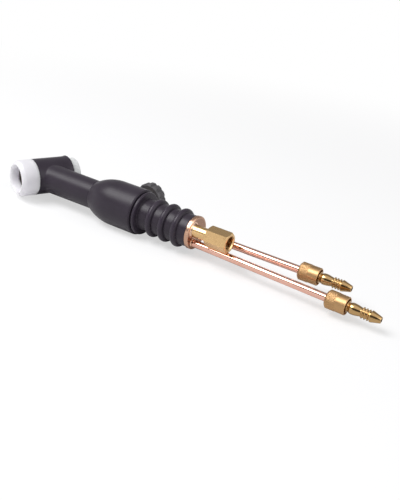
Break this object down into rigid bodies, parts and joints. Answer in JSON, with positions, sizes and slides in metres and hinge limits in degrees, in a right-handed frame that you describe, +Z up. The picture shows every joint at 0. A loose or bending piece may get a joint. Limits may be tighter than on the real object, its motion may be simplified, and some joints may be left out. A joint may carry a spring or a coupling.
{
  "type": "tig torch",
  "caption": "Water-cooled TIG torch body with an angled head, bulged housing with a side valve knob, ribbed handle spigot and barbed tail fittings.",
  "frame": {"origin": "where the head's axis crosses the neck's axis, inside the collet bore", "axes": "+X down the neck to the tail, +Y the side of the back cap and the valve knob, +Z up with the torch lying on its side"},
  "size_m": [0.2018, 0.0387, 0.0224],
  "materials": {
    "white_ptfe": "white fluoropolymer, satin",
    "clear_silicone": "milky translucent silicone",
    "copper_alloy": "turned copper alloy",
    "brass": "turned brass, bright",
    "copper_tube": "drawn copper, bright",
    "black_moulding": "black silicone-rubber moulding, satin",
    "housing_moulding": "black moulding, satin",
    "spigot_moulding": "black moulding, satin",
    "knob_plastic": "dark grey plastic, fine grain",
    "seal_rubber": "black nitrile",
    "screw_steel": "zinc-plated steel"
  },
  "bodies": {
    "torch_body": {"front_cup_gasket": "white_ptfe", "rear_cap_gasket": "clear_silicone", "head_core": "copper_alloy", "cooling_sleeve": "brass", "head_jacket": "black_moulding", "power_tube": "copper_tube", "water_tube": "copper_tube", "gas_inlet_tube": "copper_tube", "gas_outlet_tube": "copper_tube", "valve_body": "brass", "gland_nut": "brass", "valve_housing": "housing_moulding", "handle_spigot": "spigot_moulding", "tail_flange": "brass", "power_fitting": "brass", "water_tube_ferrule": "brass", "gas_tube_ferrule": "brass"},
    "stem_lift": {"stem_o_ring": "seal_rubber"},
    "knob": {"valve_stem": "brass", "valve_knob": "knob_plastic", "knob_screw": "screw_steel"},
    "water_nut": {"water_union_nut": "brass"},
    "gas_nut": {"gas_union_nut": "brass"},
    "water_nipple": {"water_hose_nipple": "brass", "water_union_seal": "seal_rubber"},
    "gas_nipple": {"gas_hose_nipple": "brass", "gas_union_seal": "seal_rubber"}
  },
  "joints": [
    {"name": "stem_rise", "type": "slide", "parent": "torch_body", "child": "stem_lift", "axis": [0, 1, 0], "range_m": [0, 0.0014]},
    {"name": "knob_turn", "type": "hinge", "parent": "stem_lift", "child": "knob", "pos_m": [0.055, 0, 0], "axis": [0, 1, 0], "range_deg": [0, 720]},
    {"name": "water_nut_turn", "type": "hinge", "parent": "torch_body", "child": "water_nut", "pos_m": [0.1671, -0.00455, -0.00462], "axis": [-0.9996, 0.0257, 0.0091], "range_deg": [0, 1440]},
    {"name": "water_nipple_travel", "type": "slide", "parent": "torch_body", "child": "water_nipple", "axis": [0.9996, -0.0257, -0.0091], "range_m": [0, 0.003]},
    {"name": "gas_nut_turn", "type": "hinge", "parent": "torch_body", "child": "gas_nut", "pos_m": [0.1494, 0.00511, -0.00155], "axis": [-0.9998, -0.0182, 0.003], "range_deg": [0, 1440]},
    {"name": "gas_nipple_travel", "type": "slide", "parent": "torch_body", "child": "gas_nipple", "axis": [0.9998, 0.0182, -0.003], "range_m": [0, 0.003]}
  ],
  "couplings": [
    {"joint": "knob_turn", "follows": "stem_rise", "rad_per_m": 8976},
    {"joint": "water_nut_turn", "follows": "water_nipple_travel", "rad_per_m": 8377.6},
    {"joint": "gas_nut_turn", "follows": "gas_nipple_travel", "rad_per_m": 8377.6}
  ]
}
